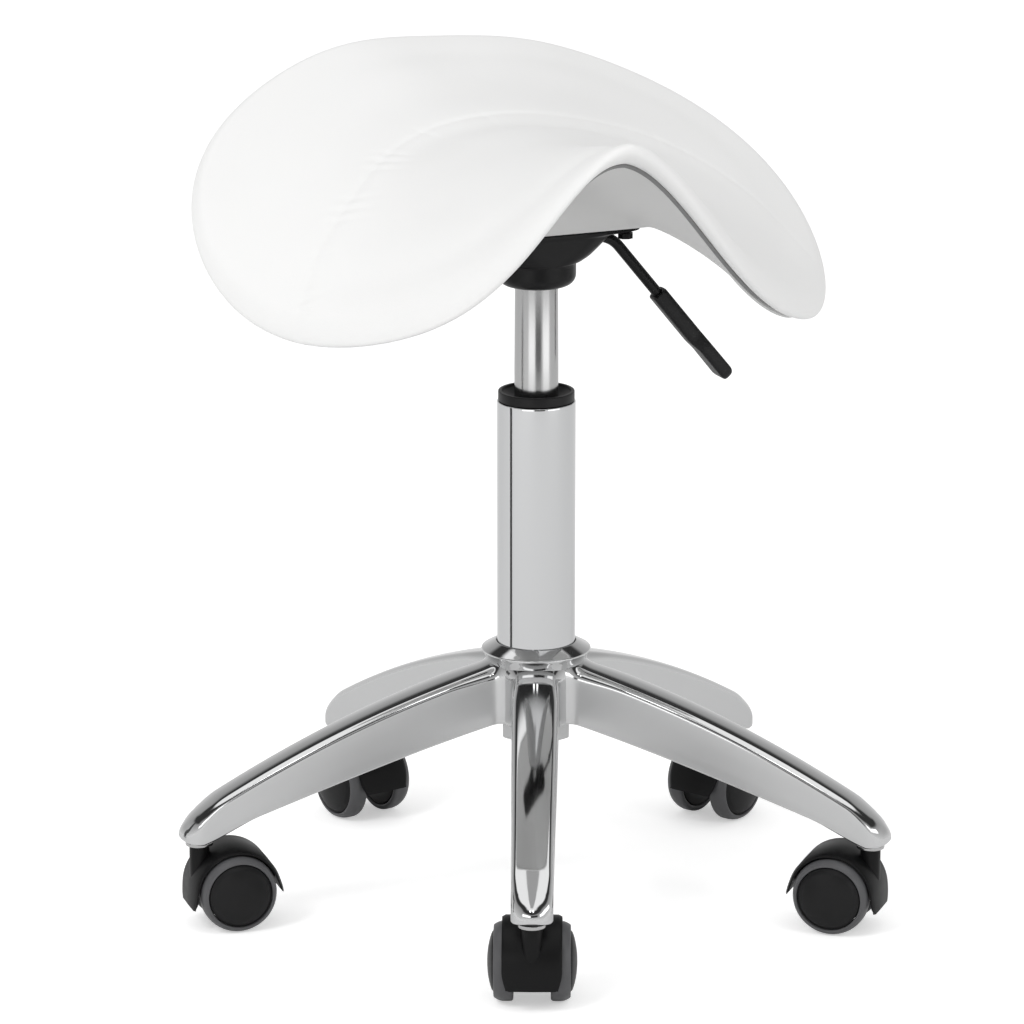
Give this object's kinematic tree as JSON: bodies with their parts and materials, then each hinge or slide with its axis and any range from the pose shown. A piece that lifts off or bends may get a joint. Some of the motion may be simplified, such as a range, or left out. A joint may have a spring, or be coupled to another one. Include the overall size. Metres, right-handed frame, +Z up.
{
  "type": "saddle stool",
  "caption": "Height-adjustable saddle stool: curved padded seat with a release lever, gas-lift column, polished star base and swivel casters.",
  "frame": {"origin": "on the floor, at the middle of the footprint; the column's axis is 18.9 mm behind it", "axes": "+Z up; -Y along the leg that points at the viewer; +X to the viewer's right"},
  "size_m": [0.452, 0.4348, 0.5306],
  "materials": {
    "polished_base": "polished to a mirror",
    "chrome_column": "bright chrome",
    "black_plastic": "fine grain, semi-matt",
    "satin_steel": "satin",
    "black_steel": "black powder coat",
    "black_rubber": "matt",
    "white_shell": "moulded, satin",
    "white_vinyl": "smooth upholstery vinyl, satin",
    "bare_steel": "plain turned",
    "grey_tread": "smooth, semi-gloss"
  },
  "bodies": {
    "base": {"star_base": "polished_base", "column_tube": "chrome_column", "column_bush": "black_plastic", "thrust_race_lower": "bare_steel", "caster_stem_1": "bare_steel", "caster_stem_2": "bare_steel", "caster_stem_3": "bare_steel", "caster_stem_4": "bare_steel", "caster_stem_5": "bare_steel"},
    "bearing_cage": {"thrust_cage": "bare_steel"},
    "rod": {"piston_rod": "bare_steel", "piston": "bare_steel", "thrust_race_upper": "bare_steel", "rod_washer": "bare_steel", "rod_clip": "bare_steel", "bump_stop": "black_rubber"},
    "seat": {"gas_cylinder": "satin_steel", "rod_guide": "black_plastic", "seat_mount": "black_steel", "seat_pan": "white_shell", "seat_cushion": "white_vinyl", "lever_pivot": "bare_steel", "mount_screw_1": "bare_steel", "mount_screw_2": "bare_steel", "mount_screw_3": "bare_steel", "mount_screw_4": "bare_steel"},
    "lever": {"lever_rod": "black_steel", "lever_grip": "black_plastic"},
    "release_pin": {"release_pin": "bare_steel"},
    "caster_1": {"caster_hood_1": "black_plastic", "caster_axle_1": "bare_steel"},
    "wheel_1a": {"caster_wheel_1a": "black_plastic", "caster_tread_1a": "grey_tread"},
    "wheel_1b": {"caster_wheel_1b": "black_plastic", "caster_tread_1b": "grey_tread"},
    "caster_2": {"caster_hood_2": "black_plastic", "caster_axle_2": "bare_steel"},
    "wheel_2a": {"caster_wheel_2a": "black_plastic", "caster_tread_2a": "grey_tread"},
    "wheel_2b": {"caster_wheel_2b": "black_plastic", "caster_tread_2b": "grey_tread"},
    "caster_3": {"caster_hood_3": "black_plastic", "caster_axle_3": "bare_steel"},
    "wheel_3a": {"caster_wheel_3a": "black_plastic", "caster_tread_3a": "grey_tread"},
    "wheel_3b": {"caster_wheel_3b": "black_plastic", "caster_tread_3b": "grey_tread"},
    "caster_4": {"caster_hood_4": "black_plastic", "caster_axle_4": "bare_steel"},
    "wheel_4a": {"caster_wheel_4a": "black_plastic", "caster_tread_4a": "grey_tread"},
    "wheel_4b": {"caster_wheel_4b": "black_plastic", "caster_tread_4b": "grey_tread"},
    "caster_5": {"caster_hood_5": "black_plastic", "caster_axle_5": "bare_steel"},
    "wheel_5a": {"caster_wheel_5a": "black_plastic", "caster_tread_5a": "grey_tread"},
    "wheel_5b": {"caster_wheel_5b": "black_plastic", "caster_tread_5b": "grey_tread"}
  },
  "joints": [
    {"name": "seat_swivel", "type": "hinge", "parent": "base", "child": "rod", "pos_m": [0, 0.0189, 0.12], "axis": [0, 0, 1], "continuous": true},
    {"name": "cage_turn", "type": "hinge", "parent": "base", "child": "bearing_cage", "pos_m": [0, 0.0189, 0.119], "axis": [0, 0, 1], "continuous": true},
    {"name": "seat_lift", "type": "slide", "parent": "rod", "child": "seat", "axis": [0, 0, 1], "range_m": [-0.065, 0.055]},
    {"name": "lever_lift", "type": "hinge", "parent": "seat", "child": "lever", "pos_m": [0.02382, 0.02931, 0.43214], "axis": [0.4003, -0.9164, 0], "range_deg": [0, 6], "stiffness_Nm_per_rad": 1.5, "springref_deg": -5.73},
    {"name": "pin_press", "type": "slide", "parent": "seat", "child": "release_pin", "axis": [0, 0, -1], "range_m": [0, 0.0028]},
    {"name": "caster_swivel_1", "type": "hinge", "parent": "base", "child": "caster_1", "pos_m": [0, -0.2051, 0.045], "axis": [0, 0, 1], "continuous": true},
    {"name": "wheel_spin_1a", "type": "hinge", "parent": "caster_1", "child": "wheel_1a", "pos_m": [0, -0.1841, 0.02469], "axis": [1, 0, 0], "continuous": true},
    {"name": "wheel_spin_1b", "type": "hinge", "parent": "caster_1", "child": "wheel_1b", "pos_m": [0, -0.1841, 0.02469], "axis": [1, 0, 0], "continuous": true},
    {"name": "caster_swivel_2", "type": "hinge", "parent": "base", "child": "caster_2", "pos_m": [0.21304, -0.05032, 0.045], "axis": [0, 0, 1], "continuous": true},
    {"name": "wheel_spin_2a", "type": "hinge", "parent": "caster_2", "child": "wheel_2a", "pos_m": [0.19306, -0.04383, 0.02469], "axis": [0.309, 0.9511, 0], "continuous": true},
    {"name": "wheel_spin_2b", "type": "hinge", "parent": "caster_2", "child": "wheel_2b", "pos_m": [0.19306, -0.04383, 0.02469], "axis": [0.309, 0.9511, 0], "continuous": true},
    {"name": "caster_swivel_3", "type": "hinge", "parent": "base", "child": "caster_3", "pos_m": [0.13166, 0.20012, 0.045], "axis": [0, 0, 1], "continuous": true},
    {"name": "wheel_spin_3a", "type": "hinge", "parent": "caster_3", "child": "wheel_3a", "pos_m": [0.11932, 0.18313, 0.02469], "axis": [-0.809, 0.5878, 0], "continuous": true},
    {"name": "wheel_spin_3b", "type": "hinge", "parent": "caster_3", "child": "wheel_3b", "pos_m": [0.11932, 0.18313, 0.02469], "axis": [-0.809, 0.5878, 0], "continuous": true},
    {"name": "caster_swivel_4", "type": "hinge", "parent": "base", "child": "caster_4", "pos_m": [-0.13166, 0.20012, 0.045], "axis": [0, 0, 1], "continuous": true},
    {"name": "wheel_spin_4a", "type": "hinge", "parent": "caster_4", "child": "wheel_4a", "pos_m": [-0.11932, 0.18313, 0.02469], "axis": [-0.809, -0.5878, 0], "continuous": true},
    {"name": "wheel_spin_4b", "type": "hinge", "parent": "caster_4", "child": "wheel_4b", "pos_m": [-0.11932, 0.18313, 0.02469], "axis": [-0.809, -0.5878, 0], "continuous": true},
    {"name": "caster_swivel_5", "type": "hinge", "parent": "base", "child": "caster_5", "pos_m": [-0.21304, -0.05032, 0.045], "axis": [0, 0, 1], "continuous": true},
    {"name": "wheel_spin_5a", "type": "hinge", "parent": "caster_5", "child": "wheel_5a", "pos_m": [-0.19306, -0.04383, 0.02469], "axis": [0.309, -0.9511, 0], "continuous": true},
    {"name": "wheel_spin_5b", "type": "hinge", "parent": "caster_5", "child": "wheel_5b", "pos_m": [-0.19306, -0.04383, 0.02469], "axis": [0.309, -0.9511, 0], "continuous": true}
  ],
  "couplings": [
    {"joint": "cage_turn", "follows": "seat_swivel", "ratio": 0.5},
    {"joint": "pin_press", "follows": "lever_lift", "m_per_rad": 0.026}
  ]
}
